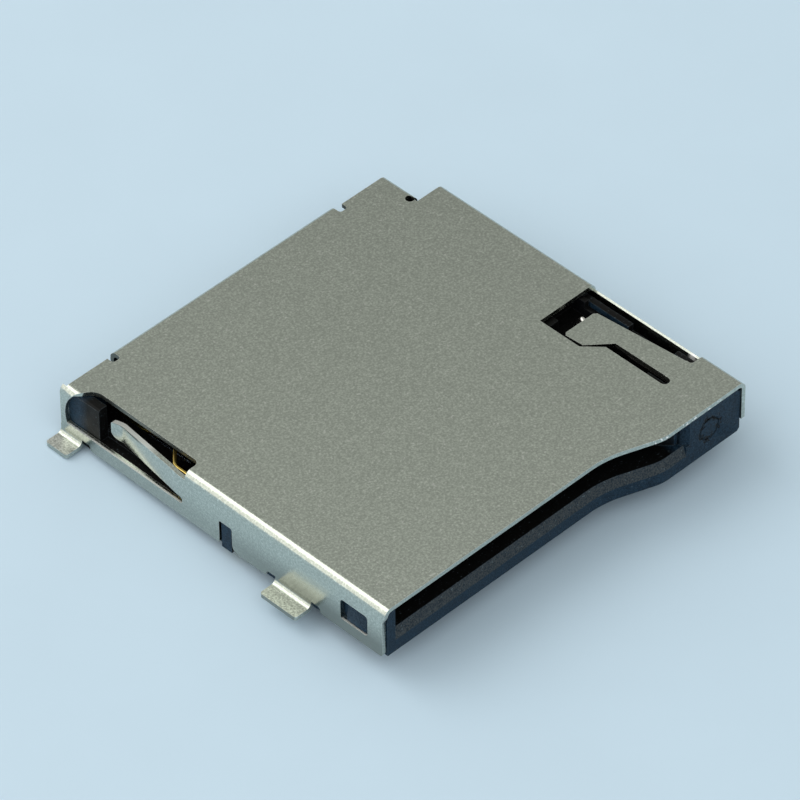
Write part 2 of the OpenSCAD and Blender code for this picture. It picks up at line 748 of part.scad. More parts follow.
// Contact i: tail on the board, flat root through the back wall, arm with a round crest
module contact(i) {
    path = [[shell_l + tail_out, contact_t / 2], [shell_l + 0.14, contact_t / 2],
        [shell_l - 0.02, seat_z], [contact_root, seat_z], [crest_y, crest_z],
        [crest_y - 0.42, floor_z - 0.12]];
    color([0.85, 0.68, 0.3]) to_origin() translate([contact_x(i), 0, 0]) intersection() {
        along_x(-contact_w / 2, contact_w / 2) polygon(strip(rounded(path, 0.1), contact_t));
        along_z(-over, shell_h)
            polygon([[-contact_w / 2, shell_l + over], [-contact_w / 2, contact_root],
                [-contact_tip_w / 2, crest_y], [-contact_tip_w / 2, crest_y - over],
                [contact_tip_w / 2, crest_y - over], [contact_tip_w / 2, crest_y],
                [contact_w / 2, contact_root], [contact_w / 2, shell_l + over]]);
    }
}

// Card switch contact: an upright strip along the guide wall whose end turns into the slot
module detect_contact() {
    plan = [[detect_x, detect_y], [detect_x, detect_bend_y],
        [detect_x + detect_reach, detect_bend_y + detect_reach]];
    foot = [[detect_x + detect_pad_l, detect_t / 2], [detect_x, detect_t / 2], [detect_x, detect_z1]];
    color([0.85, 0.68, 0.3]) to_origin() {
        along_z(detect_z0, detect_z1) polygon(strip(rounded(plan, 0.15), detect_t));
        along_y(detect_y, detect_y + detect_foot_w) polygon(strip(rounded(foot, 0.1), detect_t));
    }
}

// Cam track: the slanted way in, the lock notch between two turns, and the way out
module cam_track() {
    way_in = [for (k = [0:4]) tip(pin_swing * k / 4, travel * k / 4)];
    for (path = [way_in, [cam_left, cam_lock], [cam_lock, cam_right], [cam_right, cam_rest]])
        polygon(strip(path, lane_w));
    for (p = concat(way_in, [cam_lock, cam_right]))
        translate(p) circle(d = lane_w, $fn = round_n);
}

module slider() {
    pocket_x0 = cam_left[0] - lane_w / 2 - 0.05;
    color([0.16, 0.17, 0.19]) to_origin() {
        difference() {
            block([slider_x0, slider_y0, slider_z], [slider_x1, slider_y1, slider_top]);
            // Low field round the track, under the tongue
            block([pocket_x0, slider_y0 - over, track_top],
                [slider_x1 - slider_rim, cam_rest[1] + 0.15, shell_h]);
            block([slider_x0 + 0.77, slider_y0, track_top],
                [slider_x1 - slider_rim, slider_y1 - 0.3, shell_h]);
            block([pocket_x0, slider_y0 - over, slider_rail_z],
                [slider_x1 + over, cam_rest[1] + 0.15, shell_h]);
            along_z(track_top - track_d, shell_h) cam_track();
        }
        // Card stop
        along_z(floor_z + run_gap, slider_top)
            polygon([[slider_x0 + 0.1, stop_y], [stop_x + stop_cut, stop_y],
                [stop_x, stop_y + stop_cut], [stop_x, stop_y + stop_l], [slider_x0 + 0.1, stop_y + stop_l]]);
        // Guide arm beside the spring
        block([slider_x0, slider_y1 - 0.1, slider_z],
            [slider_x0 + arm_w, slider_y1 + arm_l, slider_rail_z]);
        // Peg of the coil spring
        translate([spring_x, slider_y1 + peg_l, spring_z]) rotate([90, 0, 0])
            cylinder(peg_l + 0.1, d = peg_d, $fn = round_n);
    }
}

// Leg of the lock pin with its bend, below the run of the wire
module pin_leg(drop) {
    translate([0, 0, -drop]) cylinder(drop - pin_bend_r, d = pin_d, $fn = round_n);
    translate([0, pin_bend_r, -pin_bend_r]) rotate([90, 0, 90]) rotate([0, 0, 90])
        rotate_extrude(angle = 90, $fn = round_n) translate([pin_bend_r, 0])
            circle(d = pin_d, $fn = round_n);
}

module lock_pin() {
    drop = pin_z - track_top + track_d - leg_end_gap;
    color([0.75, 0.75, 0.76]) to_origin() translate([pivot_x, pivot_y, pin_z]) {
        pin_leg(drop);
        translate([0, pin_l, 0]) mirror([0, 1, 0]) pin_leg(drop);
        translate([0, pin_l - pin_bend_r, 0]) rotate([90, 0, 0])
            cylinder(pin_l - 2 * pin_bend_r, d = pin_d, $fn = round_n);
    }
}

// Coil spring as one wire swept along its axis, with a closed turn at each end
module eject_spring() {
    steps = 16;
    sides = 6;
    r = (spring_d - spring_wire) / 2;
    length = spring_y1 - spring_y0 - spring_wire;
    closed = spring_wire * 1.15;
    open = (length - 2 * closed) / (spring_turns - 2);
    count = spring_turns * steps;
    function rise(u) = u < 1 ? u * closed
        : u > spring_turns - 1 ? length - (spring_turns - u) * closed
        : closed + (u - 1) * open;
    ring = [for (k = [0:count]) let (u = k / steps)
        for (j = [0:sides - 1]) let (a = 360 * j / sides, w = spring_wire / 2)
            [(r + w * cos(a)) * cos(360 * u), rise(u) + w * sin(a), (r + w * cos(a)) * sin(360 * u)]];
    color([0.75, 0.75, 0.76]) to_origin()
        translate([spring_x, spring_y0 + spring_wire / 2, spring_z])
            polyhedron(ring, concat(
                [[for (j = [0:sides - 1]) j]],
                [for (k = [0:count - 1], j = [0:sides - 1])
                    let (a = k * sides + j, b = k * sides + (j + 1) % sides)
                    [a, a + sides, b + sides, b]],
                [[for (j = [sides - 1:-1:0]) count * sides + j]]));
}

shell();
housing();
contact(1);  // contact_1
contact(2);  // contact_2
contact(3);  // contact_3
contact(4);  // contact_4
contact(5);  // contact_5
contact(6);  // contact_6
contact(7);  // contact_7
contact(8);  // contact_8
detect_contact();
slider();
lock_pin();
eject_spring();
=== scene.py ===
"""Looks of a push-push memory card connector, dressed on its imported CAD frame.

Sizes are in metres, in the frame of the CAD model: X runs across the card slot, Y from the slot's
mouth back to the contact tails, and Z up from the circuit board.
"""

import logging
import math
from dataclasses import dataclass, field
from enum import Enum
from functools import partial, reduce
from typing import Callable, Protocol, Sequence

import bmesh
import bpy
from mathutils import Matrix, Vector


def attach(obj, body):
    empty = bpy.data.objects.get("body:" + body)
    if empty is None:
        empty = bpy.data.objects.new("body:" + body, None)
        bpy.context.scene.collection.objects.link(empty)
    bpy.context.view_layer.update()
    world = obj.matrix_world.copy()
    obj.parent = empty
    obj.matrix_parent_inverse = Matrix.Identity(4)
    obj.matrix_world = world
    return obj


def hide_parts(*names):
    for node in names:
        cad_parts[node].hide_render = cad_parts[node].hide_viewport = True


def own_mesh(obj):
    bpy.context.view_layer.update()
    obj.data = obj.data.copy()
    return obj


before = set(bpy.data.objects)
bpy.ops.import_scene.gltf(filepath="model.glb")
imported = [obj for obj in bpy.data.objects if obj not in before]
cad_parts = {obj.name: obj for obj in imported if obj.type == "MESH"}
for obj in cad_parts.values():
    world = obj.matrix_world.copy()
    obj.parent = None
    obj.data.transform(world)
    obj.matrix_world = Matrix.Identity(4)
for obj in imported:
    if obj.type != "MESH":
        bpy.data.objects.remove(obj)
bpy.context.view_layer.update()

MM = 0.001
log = logging.getLogger("card connector")

Colour = tuple[float, float, float]
Point = tuple[float, float, float]
# Two numbers, such as the places or the parts of a normal between which a mask rises or falls
Range = tuple[float, float]
Socket = bpy.types.NodeSocket
Sockets = bpy.types.NodeOutputs

BLACK: Colour = (0.0, 0.0, 0.0)
WHITE: Colour = (1.0, 1.0, 1.0)
WHOLE: Range = (0.0, 1.0)


class Body(Enum):
    """The moving groups of the CAD model."""

    FRAME = "frame"
    SLIDER = "slider"
    LOCK_PIN = "lock_pin"


class Slot(Enum):
    """The material slots of the record."""

    SHELL = "shell"
    MOULDING = "moulding"
    CONTACT = "contact"
    SLIDER = "slider"
    WIRE = "wire"


def opaque(colour: object) -> object:
    """Add a full alpha to a plain colour, and leave a socket as it is."""
    return colour if isinstance(colour, Socket) else (*colour, 1.0)


def dimmed(colour: Colour, share: float) -> Colour:
    """Give a colour at a share of its brightness."""
    return tuple(share * part for part in colour)


class Wiring:
    """A node tree that is being wired up.

    Its values are output sockets, numbers, vectors or colours. Its masks go from 0 to 1.
    """

    def __init__(self, tree: bpy.types.NodeTree) -> None:
        """Keep the tree that the nodes go into."""
        self.tree = tree

    def feed(self, socket: Socket, value: object) -> None:
        """Link an output socket to an input, or set the input's own value.

        Args:
            socket: The input.
            value: What goes into it.
        """
        if isinstance(value, Socket):
            self.tree.links.new(value, socket)
        else:
            socket.default_value = value

    def add(self, kind: str, inputs: dict | None = None, **options: object) -> bpy.types.Node:
        """Add a node, set its options and feed its inputs.

        Args:
            kind: The node's class.
            inputs: The values by the name or the number of the input.
            **options: The node's own options, such as its operation.

        Returns:
            The new node.
        """
        node = self.tree.nodes.new(kind)
        for name, value in options.items():
            setattr(node, name, value)
        for name, value in (inputs or {}).items():
            self.feed(node.inputs[name], value)
        return node

    def group(self, tree: bpy.types.NodeTree, inputs: dict) -> Sockets:
        """Place a shared node group with its own values, and give its outputs."""
        return self.add("ShaderNodeGroup", inputs, node_tree=tree).outputs

    def place(self) -> Socket:
        """Read where a spot of the surface lies in the CAD frame."""
        return self.add("ShaderNodeTexCoord").outputs["Object"]

    def parts(self, vector: Socket) -> Sockets:
        """Split a vector into its X, Y and Z."""
        return self.add("ShaderNodeSeparateXYZ", {0: vector}).outputs

    def facing(self) -> Sockets:
        """Read which way a face looks, as the X, Y and Z of its normal."""
        return self.parts(self.add("ShaderNodeNewGeometry").outputs["True Normal"])

    def math(self, operation: str, *values: object) -> Socket:
        """Work out one number from one or two others, by an operation of the Math node."""
        return self.add("ShaderNodeMath", dict(enumerate(values)), operation=operation).outputs[0]

    def measure(self, operation: str, first: Socket, second: object) -> Socket:
        """Work out one number from two vectors, by an operation of the Vector Math node."""
        node = self.add("ShaderNodeVectorMath", {0: first, 1: second}, operation=operation)
        return node.outputs["Value"]

    def total(self, *values: object) -> Socket:
        """Add up some numbers."""
        return reduce(partial(self.math, "ADD"), values)

    def times(self, *values: object) -> Socket:
        """Multiply some numbers, such as masks that all have to hold."""
        return reduce(partial(self.math, "MULTIPLY"), values)

    def span(self, value: object, start: Range, end: Range) -> Socket:
        """Map one range of numbers onto another, and clamp the result to it.

        Args:
            value: The number to map.
            start: The lowest and highest number that come in.
            end: The two numbers that they turn into.

        Returns:
            The socket that carries the mapped number.
        """
        inputs = {0: value, 1: start[0], 2: start[1], 3: end[0], 4: end[1]}
        return self.add("ShaderNodeMapRange", inputs).outputs[0]

    def rising(self, value: object, over: Range) -> Socket:
        """Make a mask that goes from 0 to 1 where a number crosses a range."""
        return self.span(value, over, WHOLE)

    def falling(self, value: object, over: Range) -> Socket:
        """Make a mask that goes from 1 to 0 where a number crosses a range."""
        return self.span(value, over, (1.0, 0.0))

    def between(self, value: object, rise: Range, fall: Range) -> Socket:
        """Make a mask that rises where a number crosses one range and falls at the next."""
        return self.times(self.rising(value, rise), self.falling(value, fall))

    def without(self, mask: Socket, other: Socket) -> Socket:
        """Take one mask out of another."""
        return self.math("SUBTRACT", mask, self.times(other, mask))

    def noise(self, place: Socket, scale: object, detail: float, roughness: float = 0.5) -> Socket:
        """Read a cloudy noise, most of which lies between 0.25 and 0.75."""
        inputs = {"Vector": place, "Scale": scale, "Detail": detail, "Roughness": roughness}
        return self.add("ShaderNodeTexNoise", inputs).outputs[0]

    def blend(self, share: object, first: object, second: object) -> Socket:
        """Mix two colours, of which the second shows by a share."""
        inputs = {0: share, 6: opaque(first), 7: opaque(second)}
        return self.add("ShaderNodeMix", inputs, data_type="RGBA").outputs[2]

    def layers(self, colour: object, *coats: tuple[object, object]) -> object:
        """Lay coats of colour over one another.

        Args:
            colour: The lowest colour.
            *coats: How much each coat shows, and its colour, from the lowest one up.

        Returns:
            The colour that is seen.
        """
        for share, coat in coats:
            colour = self.blend(share, colour, coat)
        return colour

    def bump(self, strength: float, distance: float, height: Socket) -> Socket:
        """Turn a height into a bumpy normal."""
        inputs = {"Strength": strength, "Distance": distance, "Height": height}
        return self.add("ShaderNodeBump", inputs).outputs[0]

    def shader(self, inputs: dict) -> Socket:
        """Add the surface's shader with its values."""
        return self.add("ShaderNodeBsdfPrincipled", inputs).outputs[0]

    def surface(self, shader: Socket) -> None:
        """Make a shader the surface of the material."""
        self.add("ShaderNodeOutputMaterial", {"Surface": shader})


class SharedEffects:
    """Effects that several finishes use, each a node group that is built once.

    Attributes:
        usual: The values between which most of a noise lies.
        peaks: The values of its rare peaks.
        speck_scale: How fine the specks are, against the grain.
        streak_scale: How fine the streaks are, against the grain.
        bent: The cosine of the angle that a rounding turns the normal by, at an edge.
        breaks: The noise that breaks up the wear of an edge.
        broken: How much of the wear is left there.
    """

    usual: Range = (0.25, 0.75)
    peaks: Range = (0.72, 0.84)
    speck_scale: float = 0.8
    streak_scale: float = 0.7
    bent: Range = (0.90, 0.995)
    breaks: Range = (0.3, 0.6)
    broken: Range = (0.35, 1.0)

    @staticmethod
    def start(name: str, inputs: dict[str, float], outputs: Sequence[str]) -> Wiring:
        """Make an empty group with named sockets.

        Args:
            name: The group's name.
            inputs: Its inputs and their usual values.
            outputs: Its outputs.

        Returns:
            The group's tree, ready for nodes.
        """
        tree = bpy.data.node_groups.new(name, "ShaderNodeTree")
        for socket, value in inputs.items():
            made = tree.interface.new_socket(socket, in_out="INPUT", socket_type="NodeSocketFloat")
            made.default_value = value
        for socket in outputs:
            tree.interface.new_socket(socket, in_out="OUTPUT", socket_type="NodeSocketFloat")
        return Wiring(tree)

    @classmethod
    def grain(cls) -> bpy.types.NodeTree:
        """Build the fine grain of a rolled or moulded surface.

        Returns:
            A group that gives grain, sparse specks, long streaks and wide patches, each 0 to 1.
        """
        name = "surface grain"
        if name in bpy.data.node_groups:
            return bpy.data.node_groups[name]
        sizes = {"Grain Size": 0.06 * MM, "Patch Size": 1.6 * MM, "Streak Length": 14.0}
        wires = cls.start(name, sizes, ("Grain", "Specks", "Streaks", "Patches"))
        given = wires.add("NodeGroupInput").outputs
        place = wires.place()
        fine = wires.math("DIVIDE", 1.0, given["Grain Size"])
        wide = wires.math("DIVIDE", 1.0, given["Patch Size"])
        grain = wires.noise(place, fine, detail=2.0, roughness=0.6)
        specks = wires.noise(place, wires.times(fine, cls.speck_scale), detail=0.0)
        patches = wires.noise(place, wide, detail=3.0, roughness=0.55)
        squeeze = wires.add("ShaderNodeCombineXYZ",
                            {0: 1.0, 1: wires.math("DIVIDE", 1.0, given["Streak Length"]), 2: 1.0})
        squeezed = wires.add("ShaderNodeVectorMath", {0: place, 1: squeeze.outputs[0]},
                             operation="MULTIPLY")
        narrow = wires.times(fine, cls.streak_scale)
        streaks = wires.noise(squeezed.outputs[0], narrow, detail=1.0)
        wires.add("NodeGroupOutput", {"Grain": wires.rising(grain, cls.usual),
                                      "Specks": wires.rising(specks, cls.peaks),
                                      "Streaks": wires.rising(streaks, cls.usual),
                                      "Patches": wires.rising(patches, cls.usual)})
        return wires.tree

    @classmethod
    def edge_wear(cls) -> bpy.types.NodeTree:
        """Build the mask of edges that rub bright.

        Returns:
            A group that gives 1 on worn edges and 0 on open faces.
        """
        name = "edge wear"
        if name in bpy.data.node_groups:
            return bpy.data.node_groups[name]
        wires = cls.start(name, {"Width": 0.04 * MM, "Break Up": 0.12 * MM}, ("Wear",))
        given = wires.add("NodeGroupInput").outputs
        rounded = wires.add("ShaderNodeBevel", {"Radius": given["Width"]}, samples=4).outputs[0]
        plain = wires.add("ShaderNodeNewGeometry").outputs["Normal"]
        edge = wires.falling(wires.measure("DOT_PRODUCT", rounded, plain), cls.bent)
        scale = wires.math("DIVIDE", 1.0, given["Break Up"])
        noise = wires.noise(wires.place(), scale, detail=2.0)
        left = wires.span(noise, cls.breaks, cls.broken)
        wires.add("NodeGroupOutput", {"Wear": wires.times(edge, left)})
        return wires.tree


class Finish(Protocol):
    """Anything that can give a material."""

    def material(self) -> bpy.types.Material:
        """Give the finish as a material."""
        ...


def new_material(name: str) -> tuple[bpy.types.Material, Wiring]:
    """Start a material with no nodes.

    Args:
        name: The material's name.

    Returns:
        The material and its wiring.
    """
    made = bpy.data.materials.new(name)
    made.use_nodes = True
    made.node_tree.nodes.clear()
    return made, Wiring(made.node_tree)


@dataclass(frozen=True)
class PaintedPlateShade:
    """Painted shade that grows over the plate, from its front left to its back right.

    Attributes:
        slope: How fast it grows along X, Y and Z.
        reach: The lowest and highest it gets.
        shade: The share of darkness at those two.
    """

    slope: Point = (0.010 / MM, 0.006 / MM, 0.0)
    reach: Range = (-0.12, 0.12)
    shade: Range = (0.0, 0.21)
    level: Range = (0.8, 1.0)

    def mask(self, wires: Wiring) -> Socket:
        """Find how much painted shade the sheet gets.

        Args:
            wires: The material's wiring.

        Returns:
            A share of darkness, the same on all but the plate.
        """
        growth = wires.measure("DOT_PRODUCT", wires.place(), self.slope)
        plate = wires.rising(wires.facing()["Z"], self.level)
        return wires.span(wires.times(growth, plate), self.reach, self.shade)


@dataclass(frozen=True)
class PaintedGlints:
    """Painted glints: white specks along the plate's front edge at its nose, and one at the
    opening's corner.

    Attributes:
        forward: The Y of a normal that looks to the front.
        size: The size of a painted glint.
        rare: The noise that makes one.
        corner: The front right corner of the tongue's opening.
        glint: How far the painted glint there reaches.
    """

    forward: Range = (-0.25, -0.10)
    front: Range = (-6.7 * MM, -6.4 * MM)
    left: Range = (3.0 * MM, 3.6 * MM)
    right: Range = (5.8 * MM, 6.6 * MM)
    size: float = 0.09 * MM
    rare: Range = (0.60, 0.66)
    corner: Point = (7.20 * MM, -5.55 * MM, 1.66 * MM)
    glint: Range = (0.10 * MM, 0.22 * MM)

    def mask(self, wires: Wiring) -> Socket:
        """Find the painted glints.

        Args:
            wires: The material's wiring.

        Returns:
            A mask, 1 on a painted glint.
        """
        spot = wires.place()
        place = wires.parts(spot)
        noise = wires.noise(spot, 1.0 / self.size, detail=1.0)
        along = wires.times(wires.falling(wires.facing()["Y"], self.forward),
                            wires.falling(place["Y"], self.front),
                            wires.between(place["X"], self.left, self.right),
                            wires.rising(noise, self.rare))
        glint = wires.falling(wires.measure("DISTANCE", spot, self.corner), self.glint)
        return wires.math("MAXIMUM", along, glint)


@dataclass(frozen=True)
class PaintedWallFootShade:
    """Lower half of the side walls, which gets painted shade, most at the front.

    Attributes:
        sideways: The X of a normal that looks to the side.
        front: Where the darkest painted shade on a wall ends.
        rear_share: How much of the painted shade is left behind it.
    """

    sideways: Range = (0.8, 0.95)
    front: Range = (-3.5 * MM, 0.5 * MM)
    rear_share: float = 0.4
    height: Range = (0.55 * MM, 1.35 * MM)

    def mask(self, wires: Wiring) -> Socket:
        """Find the painted shade at the feet of the walls.

        Args:
            wires: The material's wiring.

        Returns:
            A mask, 1 at the front foot of a wall.
        """
        place = wires.parts(wires.place())
        side = wires.rising(wires.math("ABSOLUTE", wires.facing()["X"]), self.sideways)
        return wires.times(side, wires.span(place["Y"], self.front, (1.0, self.rear_share)),
                           wires.falling(place["Z"], self.height))


@dataclass(frozen=True)
class TabFlats:
    """Flats of the soldering tabs, which get a painted highlight, and are scuffed by handling."""

    aside: Range = (7.5 * MM, 7.6 * MM)
    level: Range = (0.7, 0.9)

    def mask(self, wires: Wiring) -> Socket:
        """Find the flats of the tabs.

        Args:
            wires: The material's wiring.

        Returns:
            A mask, 1 on a tab.
        """
        aside = wires.math("ABSOLUTE", wires.parts(wires.place())["X"])
        level = wires.rising(wires.facing()["Z"], self.level)
        return wires.times(wires.rising(aside, self.aside), level)


@dataclass(frozen=True)
class ShearedSides:
    """Sheared sides of the openings: painted shade on those in the plate, and a painted highlight
    on the sheared tops of the walls.

    Attributes:
        upright: The Z of a normal that a side in the plate has.
        unseen: The Y of a normal that no longer looks to the front.
        core: How much of the painted highlight the core of a wall's thickness lacks.
        level: The Z of a normal that looks up, as a wall's side with the painted highlight does.
    """

    upright: Range = (0.3, 0.5)
    unseen: Range = (-0.6, -0.4)
    plate_aside: Range = (7.05 * MM, 7.10 * MM)
    plate_foot: Range = (1.53 * MM, 1.57 * MM)
    wall_inside: Range = (6.5 * MM, 6.6 * MM)
    wall_outside: Range = (7.36 * MM, 7.38 * MM)
    core_inside: Range = (7.20 * MM, 7.21 * MM)
    core_outside: Range = (7.29 * MM, 7.30 * MM)
    core: float = 0.85
    level: Range = (0.6, 0.8)
    wall_top: Range = (1.68 * MM, 1.72 * MM)

    def masks(self, wires: Wiring) -> tuple[Socket, Socket]:
        """Find the sheared sides.

        Args:
            wires: The material's wiring.

        Returns:
            Two masks: 1 on a side of the plate that gets painted shade, and 1 on a wall's side
                that gets a painted highlight.
        """
        lean, place = wires.facing(), wires.parts(wires.place())
        aside = wires.math("ABSOLUTE", place["X"])
        # painted shade on the sides of the plate's openings
        plate_cut_shade = wires.times(wires.falling(wires.math("ABSOLUTE", lean["Z"]), self.upright),
                          wires.falling(aside, self.plate_aside),
                          wires.rising(place["Z"], self.plate_foot),
                          wires.rising(lean["Y"], self.unseen))
        wall = wires.between(aside, self.wall_inside, self.wall_outside)
        core = wires.between(aside, self.core_inside, self.core_outside)
        # painted highlight on the walls' sheared tops, weaker in the core of their thickness
        wall_top_highlight = wires.times(wires.math("SUBTRACT", wall, wires.times(core, self.core)),
                           wires.rising(lean["Z"], self.level),
                           wires.falling(place["Z"], self.wall_top))
        return plate_cut_shade, wall_top_highlight


@dataclass(frozen=True)
class PlatedSheet:
    """Rolled sheet with a satin plating: fine bright specks, faint rolling streaks, bright edges,
    with painted shade, painted highlights and painted glints laid over it.

    Attributes:
        bright: Its specks, and the painted highlight on its tabs.
        edge: Its worn edges, and the painted highlight on the walls' sheared tops.
        dark: Its dark grain, as a share of the colour.
        light: Its crystals, as a share of the colour.
        crystals: The power that makes the crystals few.
        patchy: How much the wide patches darken it, as streaky tells for the rolling streaks.
        grainy: How much of the dark grain stays on the crystals.
        tab_back: How far back the painted highlight on the tabs grows.
        tab_highlight: How strong that painted highlight is at the front and at the back.
        scuff_grain: The grain from which a tab is less and less scuffed.
        scuffed: How much the scuffs show.
        scuff: A scuff, as a share of the colour.
        sheared: The painted shade on a sheared side in the plate, as a share of the colour.
        foot_shade_strength: How much painted shade the feet of the walls get.
        foot: The painted shade at a foot, as a share of the colour.
    """

    name: str = "plated sheet"
    colour: Colour = (0.542, 0.579, 0.522)
    bright: Colour = (0.93, 0.94, 0.90)
    edge: Colour = (0.84, 0.86, 0.84)
    dark: float = 0.81
    light: float = 1.36
    crystals: float = 2.2
    patchy: float = 0.14
    streaky: float = 0.2
    grainy: float = 0.1
    specks: float = 0.45
    worn: float = 0.55
    tab_back: Range = (0.0, 4.0 * MM)
    tab_highlight: Range = (0.2, 0.75)
    scuff_grain: Range = (0.3, 0.7)
    scuffed: float = 0.55
    scuff: float = 0.5
    sheared: float = 0.3
    foot_shade_strength: float = 0.9
    foot: float = 0.45
    roughness: float = 0.21
    grain_rough: Range = (-0.05, 0.05)
    cut_rough: float = 0.25
    wall_top_highlight_rough: float = 0.4
    tab_rough: float = 0.10
    worn_rough: float = 0.2
    grain_size: float = 0.07 * MM
    edge_width: float = 0.035 * MM
    bump_height: float = 0.0010 * MM
    streak_height: float = 0.7

    def material(self) -> bpy.types.Material:
        """Build the plated sheet.

        Returns:
            The material.
        """
        made, wires = new_material(self.name)
        effect = wires.group(SharedEffects.grain(), {"Grain Size": self.grain_size})
        grain, streaks = effect["Grain"], effect["Streaks"]
        wear = wires.group(SharedEffects.edge_wear(), {"Width": self.edge_width})["Wear"]
        tab, feet, painted_glints = (part.mask(wires) for part in (TabFlats(), PaintedWallFootShade(), PaintedGlints()))
        plate_cut_shade, wall_top_highlight = ShearedSides().masks(wires)
        painted_tab_highlight = wires.span(wires.parts(wires.place())["Y"], self.tab_back, self.tab_highlight)
        scuffs = wires.span(grain, self.scuff_grain, (self.scuffed, 0.0))
        dark = dimmed(self.colour, self.dark)
        colour = wires.layers(
            self.colour,
            (wires.times(effect["Patches"], self.patchy), dark),
            (wires.span(streaks, WHOLE, (self.streaky, 0.0)), dark),
            (wires.span(grain, WHOLE, (1.0, self.grainy)), dark),
            (wires.math("POWER", grain, self.crystals), dimmed(self.colour, self.light)),
            (wires.times(effect["Specks"], self.specks), self.bright),
            # painted highlight on the tabs, strongest at the back
            (wires.times(tab, painted_tab_highlight), self.bright),
            (wires.times(tab, scuffs), dimmed(self.colour, self.scuff)),
            (wires.times(wear, self.worn), self.edge),
            # painted highlight on the walls' sheared tops
            (wall_top_highlight, self.edge),
            # painted shade on the sides of the plate's openings
            (plate_cut_shade, dimmed(self.colour, self.sheared)),
            # painted shade on the feet of the walls
            (wires.times(feet, self.foot_shade_strength), dimmed(self.colour, self.foot)),
            # painted shade that grows over the plate towards its back right
            (PaintedPlateShade().mask(wires), BLACK),
            # painted glints, white and not metallic
            (painted_glints, WHITE))
        roughness = wires.total(
            wires.times(plate_cut_shade, self.cut_rough),
            wires.times(wall_top_highlight, self.wall_top_highlight_rough),
            wires.times(tab, self.tab_rough),
            wires.times(wear, self.worn_rough),
            wires.span(grain, WHOLE, self.grain_rough),
            self.roughness)
        height = wires.total(grain, wires.times(streaks, self.streak_height))
        wires.surface(wires.shader({
            "Base Color": colour,
            "Roughness": roughness,
            # the painted glints are not metallic, so that they show white
            "Metallic": wires.math("SUBTRACT", 1.0, painted_glints),
            "Normal": wires.bump(1.0, self.bump_height, height)}))
        return made


@dataclass(frozen=True)
class RoundMark:
    """Worn print of a mould's ejector pin on the front of a moulding.

    Attributes:
        width: The width of its ring.
        full: The share of that width that has all its pits.
        wave: The size of the waves by which the ring strays.
        stray: The noise that makes the ring stray.
        dot: The size of a pit.
        pitted: The noise that makes a pit, and how much of it shows at the ends of that range.
    """

    middle: Point = (5.84 * MM, -7.63 * MM, 1.053 * MM)
    radius: float = 0.41 * MM
    width: float = 0.12 * MM
    full: float = 0.4
    wave: float = 0.2 * MM
    stray: Range = (0.35, 0.65)
    dot: float = 0.12 * MM
    pitted: tuple[Range, Range] = ((0.46, 0.51), (0.1, 1.0))

    def mask(self, wires: Wiring) -> Socket:
        """Find the pits of the print.

        Args:
            wires: The material's wiring.

        Returns:
            A mask, 1 in a pit.
        """
        place = wires.place()
        half = self.width / 2
        wave = wires.noise(place, 1.0 / self.wave, detail=0.0)
        ring = wires.span(wave, self.stray, (self.radius - half, self.radius + half))
        apart = wires.measure("DISTANCE", place, self.middle)
        off = wires.math("ABSOLUTE", wires.math("SUBTRACT", apart, ring))
        noise = wires.noise(place, 1.0 / self.dot, detail=1.0)
        return wires.times(wires.falling(off, (self.full * self.width, self.width)),
                           wires.span(noise, *self.pitted))


@dataclass(frozen=True)
class PaintedShadeUnderPlate:
    """Faces deep under the plate, and some in the slot's mouth, which get painted shade.

    Attributes:
        block_front: Where the rear block begins, whose left part lies open.
        leftward: The X of a normal that looks to the left.
        open_back: Where the open left side ends.
        mouth_front: Where the painted shade on the slot's right side begins.
        mouth_dark: How dark that painted shade is.
        floor_right: Where the painted shade on the slot's floor ends.
    """

    front: Range = (-6.3 * MM, -5.9 * MM)
    back: Range = (6.5 * MM, 6.6 * MM)
    block_front: Range = (5.9 * MM, 6.3 * MM)
    block_right: Range = (-0.5 * MM, 0.5 * MM)
    leftward: Range = (-0.6, -0.4)
    open_back: Range = (1.0 * MM, 1.4 * MM)
    mouth_front: Range = (-7.50 * MM, -7.20 * MM)
    mouth_back: Range = (-6.2 * MM, -5.8 * MM)
    mouth_left: Range = (3.0 * MM, 3.5 * MM)
    mouth_dark: float = 0.9
    level: Range = (0.8, 0.9)
    floor_top: Range = (0.93 * MM, 0.96 * MM)
    floor_right: Range = (4.3 * MM, 4.6 * MM)

    def mask(self, wires: Wiring) -> Socket:
        """Find the faces that get painted shade.

        Args:
            wires: The material's wiring.

        Returns:
            A mask, 1 on such a face.
        """
        lean, place = wires.facing(), wires.parts(wires.place())
        across, along = place["X"], place["Y"]
        leftward = wires.falling(lean["X"], self.leftward)
        inside = wires.between(along, self.front, self.back)
        block = wires.times(wires.rising(along, self.block_front),
                            wires.falling(across, self.block_right))
        open_side = wires.times(leftward, wires.falling(along, self.open_back))
        covered = wires.without(wires.without(inside, block), open_side)
        mouth = wires.times(wires.span(along, self.mouth_front, (0.0, self.mouth_dark)),
                            wires.falling(along, self.mouth_back), leftward,
                            wires.rising(across, self.mouth_left))
        floor = wires.times(wires.rising(lean["Z"], self.level),
                            wires.falling(place["Z"], self.floor_top),
                            wires.falling(across, self.floor_right))
        return reduce(partial(wires.math, "MAXIMUM"), (covered, mouth, floor))


